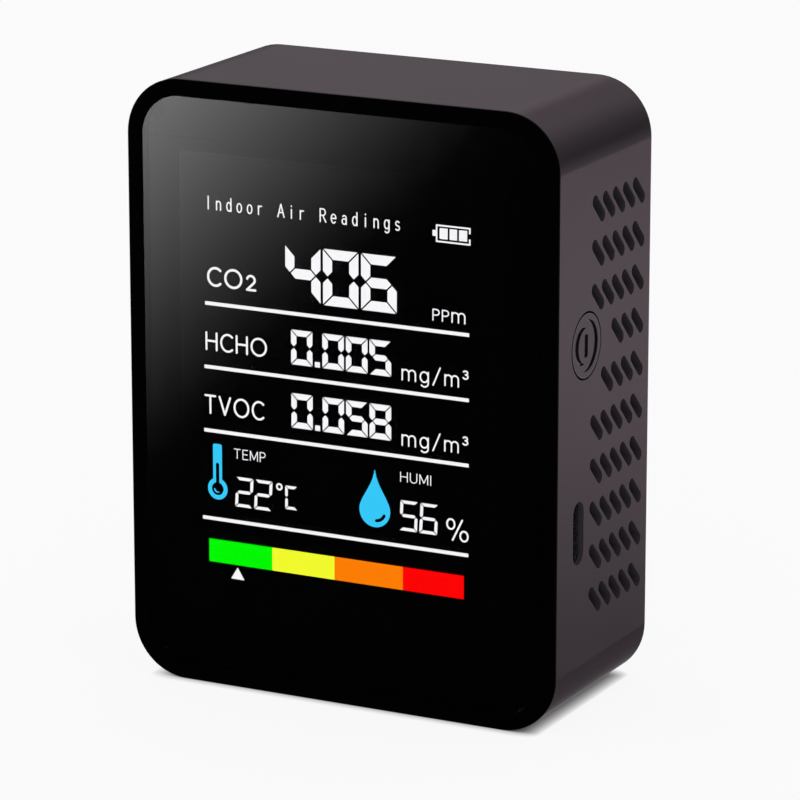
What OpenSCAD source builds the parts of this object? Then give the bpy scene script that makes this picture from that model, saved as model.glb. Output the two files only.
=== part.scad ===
// Desktop air quality monitor: a deep housing closed by a framed smoked lens, with a side
// power button, a side charging socket and slanted vents. Millimetres, +Z up, front at -Y,
// origin at the middle of the resting face.

/* [Body] */
// Width of the body
body_w = 65; // [60:0.5:80]
// Height of the body
body_h = 85; // [80:0.5:110]
// Depth of the body, front to back
body_d = 30; // [28:0.5:40]
// Radius of the four long corners
corner_r = 8; // [7:0.5:10]
// Wall of the housing
wall_t = 1.5; // [1.2:0.1:1.8]
// Radius on the rear edge of the housing
back_edge_r = 0.8; // [0.4:0.1:1.2]

/* [Front frame] */
// Thickness of the rim that shows at the side
rim_t = 0.5; // [0.4:0.1:0.8]
// Radius on the front edge of the rim
rim_edge_r = 0.15; // [0.1:0.05:0.3]
// Width of the band around the lens
band_w = 2.35; // [2.2:0.05:3]
// Thickness of the ledge that carries the lens
ledge_t = 1.2; // [1:0.1:1.4]
// Depth of the skirt that plugs into the housing
skirt_l = 3.1; // [2.6:0.1:3.2]
// Thickness of the skirt
skirt_t = 1.2; // [1:0.1:1.4]
// Gap between the skirt and the housing
skirt_fit = 0.1; // [0.05:0.05:0.2]

/* [Lens] */
// Thickness of the smoked lens
lens_t = 1; // [0.8:0.1:1.1]
// Gap around the lens in its pocket
lens_fit = 0.08; // [0.05:0.01:0.15]
// How far the lens lies below the rim
lens_sink = 0.05; // [0:0.01:0.1]
// Thickness of the adhesive ring behind the lens
lens_tape_t = 0.15; // [0.1:0.05:0.2]

/* [Display] */
// Width of the display glass
lcd_w = 49; // [40:0.5:50]
// Height of the display glass
lcd_h = 64; // [50:0.5:64]
// Thickness of the display glass
lcd_t = 1.3; // [1:0.1:1.5]
// Middle of the display glass, above the base
lcd_z = 42.5; // [42:0.1:45]
// Air gap between lens and display glass
lcd_gap = 0.1; // [0.05:0.05:0.2]
// Number of display pins
lcd_pins_n = 22; // [8:2:22]
// Spacing of the display pins
lcd_pin_pitch = 1.8; // [1.27:0.01:1.8]
// Side of a square display pin
lcd_pin_w = 0.5; // [0.3:0.05:0.6]
// Height of the strip along the glass's bottom edge that the pins stand on
lcd_pin_strip = 1.6; // [1.4:0.1:2]
// Gap around the glass in the frame window
window_fit = 0.3; // [0.2:0.1:0.5]

/* [Main board] */
// Thickness of the main board
board_t = 1; // [0.8:0.1:1.2]
// Gap between the main board and the housing walls
board_gap = 1; // [0.8:0.1:1.5]
// Gap between the main board's notches and the screw posts
notch_gap = 0.5; // [0.3:0.1:0.8]
// Distance of the board screws from the middle
board_screw_x = 17; // [14:0.5:18]
// Diameter of the board screw posts
board_post_d = 4.4; // [4:0.1:4.6]
// Diameter of the board screws
board_screw_d = 1.6; // [1.4:0.1:1.8]
// Head diameter of the board screws
board_head_d = 3; // [2.6:0.1:3.2]
// Head height of the board screws
board_head_t = 1; // [0.8:0.1:1.2]
// Length of the board screws under the head
board_screw_l = 2.6; // [2:0.1:2.8]

/* [Housing screws] */
// Distance of the screw posts from the outer faces
post_in = 6.2; // [6:0.1:7]
// Diameter of the screw posts
post_d = 6; // [5.6:0.1:6.4]
// Where the front and rear posts meet, behind the front face
post_meet = 8; // [7:0.5:9]
// Floor of the rear post under the screw head
post_floor = 2; // [1.5:0.1:2.5]
// Thread diameter of the housing screws
screw_d = 2; // [1.8:0.1:2.2]
// Head diameter of the housing screws
screw_head_d = 3.6; // [3.2:0.1:3.8]
// Head height of the housing screws
screw_head_t = 1.4; // [1.2:0.1:1.6]
// Length of the housing screws under the head
screw_l = 6.6; // [5:0.1:7]
// Diameter of the deep hole that the screw goes in by
counterbore_d = 4.2; // [4:0.1:4.6]

/* [Power button] */
// Diameter of the button hole in the wall
button_hole_d = 9.4; // [8:0.1:10]
// Gap around the button in its hole
button_gap = 0.3; // [0.2:0.05:0.4]
// Middle of the button, behind the front face
button_f = 9.05; // [8.8:0.05:9.6]
// Middle of the button, above the base
button_z = 52.4; // [45:0.1:60]
// Travel of the button
button_travel = 0.3; // [0.2:0.05:0.4]
// Overlap of the button's flange behind the wall
button_lip = 0.6; // [0.4:0.1:0.8]
// Thickness of the button's flange
button_flange_t = 0.8; // [0.6:0.1:1]
// Depth of the engraved mark
mark_depth = 0.25; // [0.15:0.05:0.4]

/* [Switch] */
// Side of the switch body
switch_w = 6; // [5:0.1:6.2]
// Depth of the switch body, along its plunger
switch_l = 3.5; // [3.2:0.1:4]
// Diameter of the switch plunger
plunger_d = 3.4; // [3:0.1:3.6]
// Gap around the plunger in the switch body
plunger_fit = 0.1; // [0.05:0.01:0.1]
// How far the plunger stands out of the switch
plunger_out = 1.2; // [1:0.1:1.5]
// Gap between the button's stem and the plunger
stem_gap = 0.1; // [0.05:0.05:0.2]
// Diameter of the button's stem
stem_d = 3; // [2.6:0.1:3.2]
// Length of the button's stem
stem_l = 1; // [0.8:0.1:1.5]

/* [Charging socket] */
// Height of the socket shell, along Z
usb_w = 8.94; // [8.94:0.01:8.94]
// Thickness of the socket shell
usb_t = 3.16; // [3.16:0.01:3.16]
// Length of the socket shell
usb_l = 7.3; // [6.8:0.1:8]
// Sheet thickness of the socket shell
usb_sheet = 0.3; // [0.2:0.05:0.3]
// Middle of the socket, behind the front face
usb_f = 7.05; // [7:0.05:7.3]
// Middle of the socket, above the base
usb_z = 26.85; // [20:0.05:36]
// Size of the opening in the wall, along Z
port_w = 8.8; // [8.6:0.1:9.4]
// Size of the opening in the wall, front to back
port_t = 3.3; // [2.9:0.1:3.6]
// Wall left in front of the socket
port_wall = 0.7; // [0.5:0.1:0.8]
// Gap around the socket inside the wall
port_gap = 0.1; // [0.1:0.05:0.2]

/* [Vents] */
// Length of a vent slot
vent_l = 5; // [4:0.1:5.2]
// Width of a vent slot
vent_w = 1.7; // [1.2:0.1:1.8]
// Tilt of a vent slot
vent_tilt = 45; // [35:1:55]
// Number of vent rows
vent_rows = 10; // [4:1:10]
// Number of vent columns
vent_cols = 5; // [3:1:5]
// Spacing of the rows
vent_pitch_z = 6.03; // [5.8:0.01:6.3]
// Spacing of the columns
vent_pitch_f = 3.22; // [3.1:0.01:3.3]
// Middle of the first column, behind the front face
vent_first_f = 12.55; // [12.4:0.05:13]
// Middle of the lowest row, above the base
vent_first_z = 16.15; // [15:0.05:18]
// Least wall between a slot and the button hole
vent_margin = 0.8; // [0.5:0.1:1]

/* [Sensors] */
// Width of the carbon dioxide sensor board
co2_w = 33; // [28:0.5:34]
// Height of the carbon dioxide sensor board
co2_h = 21; // [18:0.5:22]
// Middle of the carbon dioxide sensor, across the body
co2_x = -9; // [-10:0.5:-6]
// Distance of the carbon dioxide sensor from the top of the main board
co2_drop = 21; // [20:0.5:24]
// Height of the carbon dioxide sensor's chamber
co2_chamber_t = 7.5; // [6:0.5:9]
// Gap under the carbon dioxide sensor board
co2_standoff = 1.5; // [1.2:0.1:2.5]
// Diameter of the formaldehyde sensor
hcho_d = 14; // [12:0.5:16]
// Height of the formaldehyde sensor
hcho_t = 6; // [5:0.5:8]
// Diameter of the organic vapour sensor's can
tvoc_d = 8.2; // [7:0.1:8.6]
// Height of the organic vapour sensor's can
tvoc_t = 5; // [4:0.5:7]

/* [Battery] */
// Width of the battery cell
cell_w = 34; // [28:0.5:36]
// Height of the battery cell
cell_h = 50; // [40:0.5:52]
// Thickness of the battery cell
cell_t = 6; // [4:0.5:7]
// Bottom of the battery cell, above the base
cell_z = 12; // [10:0.5:14]
// Thickness of the tape behind the battery
cell_tape_t = 0.2; // [0.1:0.05:0.3]
// Diameter of a battery lead
lead_d = 1.1; // [0.8:0.1:1.3]
// Spacing of the battery leads
lead_pitch = 2; // [1.5:0.1:2.5]

/* [Hidden] */
$fn = 64;
tiny = 0.02;
slack = 0.03;
front_y = -body_d / 2;

// Depths behind the front face
lens_back = lens_sink + lens_t;
ledge_front = lens_back + lens_tape_t;
ledge_back = ledge_front + ledge_t;
lcd_front = lens_back + lcd_gap;
lcd_back = lcd_front + lcd_t;
board_back = usb_f - usb_t / 2;
board_front = board_back - board_t;
back_inner = body_d - wall_t;

// Inside of the housing
inner_x = body_w / 2 - wall_t;
post_x = body_w / 2 - post_in;
post_zs = [post_in, body_h - post_in];

// Frame and lens outlines
lens_w = body_w - 2 * band_w;
lens_h = body_h - 2 * band_w;
lens_r = corner_r - band_w;
skirt_in = wall_t + skirt_fit;
lcd_low = lcd_z - lcd_h / 2;
lcd_top = lcd_z + lcd_h / 2;
lcd_pin_z = lcd_low + lcd_pin_strip / 2;

// Main board outline
board_x = inner_x - board_gap;
board_low = wall_t + board_gap;
board_top = body_h - board_low;
notch_x = post_x - post_d / 2 - notch_gap;
notch_z = post_in + post_d / 2 + notch_gap;

// Button and switch, measured along X
button_cap_d = button_hole_d - 2 * button_gap;
button_rest_gap = 0.3;
flange_out_x = inner_x - button_rest_gap;
flange_in_x = flange_out_x - button_flange_t;
stem_x = flange_in_x - stem_l;
plunger_x = stem_x - stem_gap;
switch_x = plunger_x - plunger_out;
plunger_in = 1.2;
plunger_bore = plunger_in + button_travel + 0.4;
bracket_t = 0.3;

// Socket
groove_x = body_w / 2 - port_wall;
usb_nose_x = groove_x - port_gap;
usb_tail_x = usb_nose_x - usb_l;
usb_leg_t = 0.3;
usb_leg_w = 1;
usb_leg_xs = [usb_tail_x + 1.2, usb_tail_x + 4.6];

// Sensor and component places on the main board, as [x, z]
co2_z = board_top - co2_drop;
co2_front = board_back + co2_standoff;
co2_board_t = 1;
co2_back = co2_front + co2_board_t;
co2_pin_pitch = 2.54;
co2_pin_w = 0.64;
co2_edge = 1.6;
hcho_at = [-17, board_low + 33.5];
tvoc_at = [17, board_top - 16];
humidity_at = [21, board_low + 10.5];
controller_at = [3, board_low + 31.5];
charger_at = [16, board_low + 24.5];
inductor_at = [16, board_low + 16];
crystal_at = [-5, board_low + 26.5];
socket_at = [4, board_top - 5];

// Battery
cell_back = back_inner - cell_tape_t;
cell_front = cell_back - cell_t;
guard_h = 4;
guard_t = 2.5;
lead_f = cell_back - cell_t / 2;
lead_bend_r = 4;
plug_back = board_back + 6;

// ---- helpers ----

// A flat outline, given as x and z, made solid from depth f, t thick
module slab(f, t) {
    translate([0, front_y + f + t, 0]) rotate([90, 0, 0]) linear_extrude(t) children();
}

// An outline given as y and z, made solid along X
module side_slab(x, t) {
    translate([x, 0, 0]) rotate([90, 0, 90]) linear_extrude(t) children();
}

// A round bar along Y
module bar_y(x, z, f, l, d) {
    translate([x, front_y + f + l, z]) rotate([90, 0, 0]) cylinder(d = d, h = l);
}

// A round bar along X
module bar_x(x, f, z, l, d) {
    translate([x, front_y + f, z]) rotate([0, 90, 0]) cylinder(d = d, h = l);
}

// A box given by its middle across and up, and its depth behind the front face
module block(x, z, f, w, h, t) {
    translate([x - w / 2, front_y + f, z - h / 2]) cube([w, t, h]);
}

// A rounded rectangle with its middle at the origin
module rounded_rect(w, h, r) {
    square([w - 2 * r, h], center = true);
    square([w, h - 2 * r], center = true);
    for (x = [-1, 1], y = [-1, 1]) translate([x * (w / 2 - r), y * (h / 2 - r)]) circle(r = r);
}

// The body's outline, brought in by inset
module body_outline(inset) {
    translate([0, body_h / 2]) rounded_rect(body_w - 2 * inset, body_h - 2 * inset, corner_r - inset);
}

// A profile from 0 to reach, t high, with its top outer corner rounded by e
module edge_profile(reach, t, e) {
    square([reach, t - e]);
    square([reach - e, t]);
    translate([reach - e, t - e]) circle(r = e);
}

// The body's outline made t thick, with its far face's edge rounded by e, lying in XY
module soft_slab(t, e) {
    half_w = body_w / 2;
    half_h = body_h / 2;
    for (x = [-1, 1], y = [-1, 1]) {
        translate([x * (half_w - corner_r), y * (half_h - corner_r), 0])
            rotate_extrude() edge_profile(corner_r, t, e);
    }
    for (side = [0, 1]) mirror([side, 0, 0]) {
        translate([0, half_h - corner_r, 0]) rotate([90, 0, 0])
            linear_extrude(body_h - 2 * corner_r) edge_profile(half_w, t, e);
    }
    for (side = [0, 1]) mirror([0, side, 0]) {
        translate([corner_r - half_w, 0, 0]) rotate([90, 0, 90])
            linear_extrude(body_w - 2 * corner_r) edge_profile(half_h, t, e);
    }
}

module stadium(l, w) {
    square([l - w, w], center = true);
    for (x = [-1, 1]) translate([x * (l - w) / 2, 0]) circle(d = w);
}

// Both sides, top and bottom, for the four housing screws
module at_posts() {
    for (x = [-post_x, post_x], z = post_zs) translate([x, 0, z]) children();
}

module at_board_posts() {
    for (x = [-board_screw_x, board_screw_x], z = post_zs) translate([x, 0, z]) children();
}

// A pan head screw pointing to the front, with a cross recess
module pan_screw(f, d, l, head_d, head_t) {
    difference() {
        union() {
            bar_y(0, 0, f - l, l, d);
            bar_y(0, 0, f, head_t * 0.6, head_d);
            translate([0, front_y + f + head_t * 0.6, 0]) rotate([-90, 0, 0])
                cylinder(d1 = head_d, d2 = head_d * 0.6, h = head_t * 0.4);
        }
        for (turn = [0, 90]) translate([0, front_y + f + head_t, 0]) rotate([0, turn, 0])
            cube([head_d * 0.55, head_t, head_d * 0.14], center = true);
    }
}

// ---- housing and frame ----

// Distance from the button's middle to the nearest point of a slot's centre line
function slot_reach(f, z) = let (
        df = f - button_f,
        dz = z - button_z,
        half = (vent_l - vent_w) / 2,
        along = df * cos(vent_tilt) - dz * sin(vent_tilt),
        t = max(-half, min(half, -along))
    ) norm([df + t * cos(vent_tilt), dz - t * sin(vent_tilt)]);

function clears_button(f, z) = slot_reach(f, z) - vent_w / 2 - button_hole_d / 2 > vent_margin;

module vent_field(with_button) {
    for (col = [0 : vent_cols - 1], row = [0 : vent_rows - 1]) {
        f = vent_first_f + col * vent_pitch_f;
        z = vent_first_z + row * vent_pitch_z;
        if (!with_button || clears_button(f, z))
            translate([front_y + f, z]) rotate(-vent_tilt) stadium(vent_l, vent_w);
    }
}

module rear_housing() {
    color("#53484e") difference() {
        union() {
            difference() {
                translate([0, front_y + rim_t, body_h / 2]) rotate([-90, 0, 0])
                    soft_slab(body_d - rim_t, back_edge_r);
                slab(0, back_inner) body_outline(wall_t);
            }
            at_posts() bar_y(0, 0, post_meet, back_inner - post_meet + tiny, post_d);
        }
        at_posts() bar_y(0, 0, post_meet + post_floor, body_d, counterbore_d);
        at_posts() bar_y(0, 0, post_meet - 1, post_floor + 2, screw_d + 0.3);
        side_slab(inner_x - 1, wall_t + 2) vent_field(true);
        side_slab(-body_w / 2 - 1, wall_t + 2) vent_field(false);
        bar_x(inner_x - 1, button_f, button_z, wall_t + 2, button_hole_d);
        side_slab(inner_x - 1, wall_t + 2) translate([front_y + usb_f, usb_z]) rotate(90)
            stadium(port_w, port_t);
        // The socket slides in along this groove from the open front
        side_slab(inner_x - 1, wall_t - port_wall + 1) translate([front_y, usb_z - usb_w / 2 - port_gap])
            square([usb_f + usb_t / 2 + port_gap, usb_w + 2 * port_gap]);
    }
}

module front_frame() {
    color("#0b0b0c") difference() {
        union() {
            translate([0, front_y + rim_t, body_h / 2]) rotate([90, 0, 0]) soft_slab(rim_t, rim_edge_r);
            slab(rim_t, ledge_back - rim_t) body_outline(skirt_in);
            slab(rim_t, skirt_l) difference() {
                body_outline(skirt_in);
                body_outline(skirt_in + skirt_t);
            }
            at_posts() bar_y(0, 0, ledge_back - tiny, post_meet - ledge_back + tiny, post_d);
            at_board_posts() bar_y(0, 0, ledge_back - tiny, board_front - ledge_back + tiny, board_post_d);
        }
        slab(-1, ledge_front + 1) translate([0, body_h / 2])
            rounded_rect(lens_w + 2 * lens_fit, lens_h + 2 * lens_fit, lens_r + lens_fit);
        slab(0, ledge_back + 1) translate([0, lcd_z])
            square([lcd_w + 2 * window_fit, lcd_h + 2 * window_fit], center = true);
        at_posts() bar_y(0, 0, post_meet + post_floor - screw_l - 0.2, body_d, screw_d + tiny);
        at_board_posts() bar_y(0, 0, board_back - board_screw_l - 0.2, body_d, board_screw_d + tiny);
    }
}

module display_lens() {
    color("#050506") slab(lens_sink, lens_t) translate([0, body_h / 2])
        rounded_rect(lens_w, lens_h, lens_r);
}

module lens_tape() {
    edge = 0.3;
    color("#202020") slab(lens_back, lens_tape_t) difference() {
        translate([0, body_h / 2]) rounded_rect(lens_w - 2 * edge, lens_h - 2 * edge, lens_r - edge);
        translate([0, lcd_z])
            square([lcd_w + 2 * (window_fit + edge), lcd_h + 2 * (window_fit + edge)], center = true);
    }
}

// ---- display ----

module lcd_glass() {
    color("#101214") slab(lcd_front, lcd_t) translate([0, lcd_z]) rounded_rect(lcd_w, lcd_h, 0.5);
}

module lcd_backlight() {
    margin = 0.6;
    led_w = 3;
    led_h = 1.2;
    low = lcd_low + lcd_pin_strip;
    top = lcd_top - margin;
    color("#e8e8e4") slab(lcd_back, board_front - lcd_back) difference() {
        translate([0, (low + top) / 2]) rounded_rect(lcd_w - 2 * margin, top - low, 1);
        for (x = [-1, 0, 1]) translate([x * lcd_w / 3, top]) square([led_w, 2 * led_h], center = true);
    }
}

function lcd_pin_x(i) = (i - (lcd_pins_n - 1) / 2) * lcd_pin_pitch;

module lcd_pins() {
    pin_out = 0.7;
    color("#c9c9c4") for (i = [0 : lcd_pins_n - 1])
        block(lcd_pin_x(i), lcd_pin_z, lcd_back, lcd_pin_w, lcd_pin_w, board_back - lcd_back + pin_out);
}

// ---- main board ----

module board_outline() {
    difference() {
        translate([-board_x, board_low]) square([2 * board_x, board_top - board_low]);
        for (x = [-1, 1], z = [board_low, board_top])
            translate([x * board_x, z])
                square([2 * (board_x - notch_x), 2 * (notch_z - board_low)], center = true);
    }
}

module main_board() {
    hole_gap = 0.2;
    slot_w = 0.8;
    slot_l = 5;
    color("#12512e") difference() {
        slab(board_front, board_t) board_outline();
        slab(0, body_d) {
            for (x = [-board_screw_x, board_screw_x], z = post_zs)
                translate([x, z]) circle(d = board_screw_d + hole_gap);
            for (i = [0 : lcd_pins_n - 1]) translate([lcd_pin_x(i), lcd_pin_z])
                circle(d = lcd_pin_w * sqrt(2) + hole_gap);
            for (at = co2_pin_places()) translate(at) circle(d = co2_pin_w * sqrt(2) + hole_gap);
            for (x = usb_leg_xs, side = [-1, 1])
                translate([x, usb_z + side * (usb_w - usb_leg_t) / 2])
                    square([usb_leg_w + hole_gap, usb_leg_t + hole_gap], center = true);
            for (side = [-1, 1]) translate([switch_x - switch_l / 2, button_z + side * switch_leg_z()])
                square([switch_leg_w() + hole_gap, bracket_t + hole_gap], center = true);
            // Slots that keep the board's warmth away from the humidity sensor
            for (side = [-1, 1]) translate([humidity_at[0], humidity_at[1] + side * 3])
                square([slot_l, slot_w], center = true);
        }
    }
}

module board_screws() {
    color("#9a9a96") at_board_posts()
        pan_screw(board_back, board_screw_d, board_screw_l, board_head_d, board_head_t);
}

module housing_screws() {
    color("#8d8d8a") at_posts()
        pan_screw(post_meet + post_floor, screw_d, screw_l, screw_head_d, screw_head_t);
}

// ---- power button and switch ----

// The mark: a left and a right crescent around a short upright bar, in y and z
module button_mark() {
    left_r = 2.58;
    inner_r = 2.47;
    right_r = 3.58;
    shift = 1.15;
    lift = 0.12;
    bar_w = 1.15;
    bar_h = 3.2;
    bar_r = 0.4;
    difference() {
        translate([-shift, lift]) circle(r = left_r);
        circle(r = inner_r);
    }
    difference() {
        circle(r = right_r);
        translate([-shift, lift]) circle(r = right_r);
    }
    translate([-0.1, 0]) rounded_rect(bar_w, bar_h, bar_r);
}

module power_button() {
    flange_d = button_hole_d + 2 * button_lip;
    // Clearance of the flange's flat from the board, which also keeps the button from turning
    flat_gap = 0.4;
    color("#53484e") difference() {
        union() {
            bar_x(flange_out_x - tiny, button_f, button_z, body_w / 2 - flange_out_x + tiny, button_cap_d);
            difference() {
                bar_x(flange_in_x, button_f, button_z, button_flange_t, flange_d);
                translate([flange_in_x - 1, front_y, 0])
                    cube([button_flange_t + 2, board_back + flat_gap, body_h]);
            }
            bar_x(stem_x, button_f, button_z, stem_l + tiny, stem_d);
        }
        side_slab(body_w / 2 - mark_depth, 1) translate([front_y + button_f, button_z]) button_mark();
    }
}

switch_low = board_back;
switch_top = button_f + switch_w / 2;

function switch_leg_z() = switch_w / 2 + bracket_t / 2 + slack;
function switch_leg_w() = 1;

module switch_body() {
    color("#1b1b1d") difference() {
        translate([switch_x - switch_l, front_y + switch_low, button_z - switch_w / 2])
            cube([switch_l, switch_top - switch_low, switch_w]);
        bar_x(switch_x - plunger_bore, button_f, button_z, plunger_bore + 1, plunger_d + 2 * plunger_fit);
    }
}

// Steel strap over the switch, with two legs down into the board
module switch_bracket() {
    strap = 1.6;
    top = switch_top + slack;
    mid_x = switch_x - switch_l / 2;
    color("#b9bbbd") {
        block(mid_x, button_z, top, strap, switch_w + 2 * (bracket_t + slack), bracket_t);
        for (side = [-1, 1]) {
            block(mid_x, button_z + side * switch_leg_z(), board_back, strap, bracket_t,
                top - board_back + bracket_t);
            block(mid_x, button_z + side * switch_leg_z(), board_front + 0.1, switch_leg_w(), bracket_t,
                board_t);
        }
    }
}

module switch_plunger() {
    color("#2a2a2d") bar_x(switch_x - plunger_in, button_f, button_z, plunger_in + plunger_out, plunger_d);
}

// ---- charging socket ----

module usb_at() {
    translate([front_y + usb_f, usb_z]) rotate(90) children();
}

module usb_shell() {
    color("#b4b6b8") {
        side_slab(usb_tail_x, usb_l) usb_at() difference() {
            stadium(usb_w, usb_t);
            stadium(usb_w - 2 * usb_sheet, usb_t - 2 * usb_sheet);
        }
        for (x = usb_leg_xs, side = [-1, 1])
            block(x, usb_z + side * (usb_w - usb_leg_t) / 2, board_front + 0.1, usb_leg_w, usb_leg_t,
                usb_f - board_front - 0.1);
    }
}

usb_block_l = 2.2;
usb_tongue_w = 6.7;
usb_tongue_t = 0.7;
usb_tongue_l = 4.4;

module usb_insulator() {
    gap = 2 * (usb_sheet + slack);
    color("#141416") {
        side_slab(usb_tail_x + 0.1, usb_block_l) usb_at() stadium(usb_w - gap, usb_t - gap);
        side_slab(usb_tail_x + usb_block_l, usb_tongue_l) usb_at()
            square([usb_tongue_w, usb_tongue_t], center = true);
    }
}

// Twelve contact strips on each face of the tongue
module usb_contacts() {
    pitch = 0.5;
    strip_w = 0.25;
    strip_t = 0.05;
    strip_l = 3.2;
    start_x = usb_tail_x + usb_block_l + 0.8;
    color("#d4af5a") for (i = [0 : 11], face = [0, 1])
        block(start_x + strip_l / 2, usb_z + (i - 5.5) * pitch,
            usb_f - usb_tongue_t / 2 - strip_t + face * (usb_tongue_t + strip_t),
            strip_l, strip_w, strip_t);
}

// ---- parts soldered to the main board ----

module controller_chip() {
    side = 7;
    color("#1c1c1e") difference() {
        block(controller_at[0], controller_at[1], board_back + 0.1, side, side, 1.4);
        bar_y(controller_at[0] - 2.5, controller_at[1] + 2.5, board_back + 1.3, 1, 0.8);
    }
}

// Twelve leads on each side, each with its foot on the board
module controller_leads() {
    lead_w = 0.22;
    pitch = 0.5;
    reach = 3.5;
    color("#c9c9c4") for (turn = [0 : 90 : 270], i = [0 : 11])
        translate([controller_at[0], 0, controller_at[1]]) rotate([0, turn, 0]) {
            block((i - 5.5) * pitch, reach + 0.15, board_back + 0.65, lead_w, 0.3, 0.15);
            block((i - 5.5) * pitch, reach + 0.375, board_back + 0.15, lead_w, 0.15, 0.65);
            block((i - 5.5) * pitch, reach + 0.6, board_back, lead_w, 0.6, 0.15);
        }
}

module charger_chip() {
    pitch = 1.27;
    color("#1c1c1e") block(charger_at[0], charger_at[1], board_back + 0.1, 3.9, 4.9, 1.4);
    color("#c9c9c4") for (side = [-1, 1], i = [0 : 3])
        block(charger_at[0] + side * 2.45, charger_at[1] + (i - 1.5) * pitch, board_back, 1, 0.4, 0.5);
}

module crystal() {
    color("#c7c8ca") slab(board_back, 1.2) translate(crystal_at) rounded_rect(5, 3.2, 0.5);
}

module power_inductor() {
    color("#3a3a3c") difference() {
        slab(board_back, 2.2) translate(inductor_at) rounded_rect(4.4, 4.4, 1);
        bar_y(inductor_at[0], inductor_at[1], board_back + 2, 1, 2);
    }
}

// Small parts in tidy rows beside the chips
module chip_resistors() {
    color("#2b2b2b") for (i = [0 : 5], row = [0, 1])
        block(controller_at[0] - 6 + i * 2.4, controller_at[1] - 7.5 - row * 2.6, board_back, 1.6, 0.8, 0.5);
}

module chip_capacitors() {
    color("#a98c6a") {
        for (i = [0 : 3]) block(controller_at[0] - 4 + i * 2.6, controller_at[1] + 7, board_back, 0.8, 1.6, 0.8);
        for (i = [0 : 2]) block(charger_at[0] - 3 + i * 3, charger_at[1] + 5, board_back, 1.25, 2, 1);
    }
}

// ---- gas sensors ----

// Four pins along the bottom edge of the sensor board and five along its top
function co2_pin_places() = [
    for (i = [0 : 3]) [co2_x + (i - 1.5) * co2_pin_pitch, co2_z - co2_h / 2 + co2_edge],
    for (i = [0 : 4]) [co2_x + (i - 2) * co2_pin_pitch, co2_z + co2_h / 2 - co2_edge]
];

module co2_board() {
    color("#1d3f7a") slab(co2_front, co2_board_t) difference() {
        translate([co2_x, co2_z]) rounded_rect(co2_w, co2_h, 1);
        for (at = co2_pin_places()) translate(at) circle(d = co2_pin_w * sqrt(2) + 0.2);
    }
}

co2_chamber_h = co2_h - 2 * (co2_edge + 1.4);
co2_window_w = 9;
co2_window_h = 5;
co2_window_deep = 0.4;
co2_window_xs = [co2_x - co2_w / 4, co2_x + co2_w / 4];

module co2_chamber() {
    color("#d8b45c") difference() {
        slab(co2_back, co2_chamber_t) translate([co2_x, co2_z]) rounded_rect(co2_w - 2, co2_chamber_h, 2);
        for (x = co2_window_xs)
            block(x, co2_z, co2_back + co2_chamber_t - co2_window_deep, co2_window_w, co2_window_h, 1);
    }
}

module co2_filters() {
    color("#f0efe9") for (x = co2_window_xs)
        block(x, co2_z, co2_back + co2_chamber_t - co2_window_deep, co2_window_w - 2 * slack,
            co2_window_h - 2 * slack, co2_window_deep - 0.1);
}

module co2_pins() {
    color("#d4af5a") for (at = co2_pin_places())
        block(at[0], at[1], board_front + 0.1, co2_pin_w, co2_pin_w, co2_back - board_front + 0.5);
}

module hcho_sensor() {
    rim = 2;
    color("#e4e2da") difference() {
        bar_y(hcho_at[0], hcho_at[1], board_back, hcho_t, hcho_d);
        bar_y(hcho_at[0], hcho_at[1], board_back + hcho_t - 0.5, 1, hcho_d - 2 * rim);
    }
}

module hcho_membrane() {
    rim = 2;
    color("#f7f7f2")
        bar_y(hcho_at[0], hcho_at[1], board_back + hcho_t - 0.5, 0.3, hcho_d - 2 * (rim + slack));
}

module tvoc_base() {
    color("#b9a46a") bar_y(tvoc_at[0], tvoc_at[1], board_back, 1, tvoc_d + 1);
}

tvoc_wall = 0.4;
tvoc_hole_d = tvoc_d - 3;

module tvoc_can() {
    color("#c2c4c6") difference() {
        bar_y(tvoc_at[0], tvoc_at[1], board_back + 1, tvoc_t, tvoc_d);
        bar_y(tvoc_at[0], tvoc_at[1], board_back, tvoc_t + 1 - tvoc_wall, tvoc_d - 2 * tvoc_wall);
        bar_y(tvoc_at[0], tvoc_at[1], board_back, tvoc_t + 3, tvoc_hole_d);
    }
}

module tvoc_mesh() {
    color("#9b9d9f") bar_y(tvoc_at[0], tvoc_at[1], board_back + tvoc_t + 0.7 - tvoc_wall, 0.3, tvoc_hole_d + 1);
}

module humidity_sensor() {
    color("#f1f1ee") difference() {
        block(humidity_at[0], humidity_at[1], board_back, 3, 3, 1.1);
        bar_y(humidity_at[0], humidity_at[1], board_back + 0.7, 1, 1);
    }
}

// ---- battery ----

module battery_cell() {
    color("#c6c9cc") slab(cell_front, cell_t) translate([0, cell_z + cell_h / 2])
        rounded_rect(cell_w, cell_h, 1.5);
}

module battery_guard() {
    color("#c98a2b") slab(lead_f - guard_t / 2, guard_t) translate([0, cell_z + cell_h + guard_h / 2])
        rounded_rect(cell_w - 4, guard_h, 0.6);
}

module battery_tape() {
    color("#dcdcd8") slab(cell_back, cell_tape_t) translate([0, cell_z + cell_h / 2])
        square([cell_w - 6, cell_h - 8], center = true);
}

// Each lead leaves the guard board upwards, turns to the front and enters the plug
module battery_lead(x) {
    top = socket_at[1];
    low = cell_z + cell_h + guard_h;
    translate([x, front_y + lead_f, low]) cylinder(d = lead_d, h = top - lead_bend_r - low);
    translate([x, front_y + lead_f - lead_bend_r, top - lead_bend_r]) rotate([90, 0, 90])
        rotate_extrude(angle = 90) translate([lead_bend_r, 0]) circle(d = lead_d);
    bar_y(x, top, plug_back, lead_f - lead_bend_r - plug_back, lead_d);
}

module battery_leads() {
    color("#c42a22") battery_lead(socket_at[0] + lead_pitch / 2);
    color("#19191b") battery_lead(socket_at[0] - lead_pitch / 2);
}

socket_w = 6;
socket_h = 4.5;
socket_t = 4;
socket_wall = 0.5;
socket_floor = 0.8;

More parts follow.
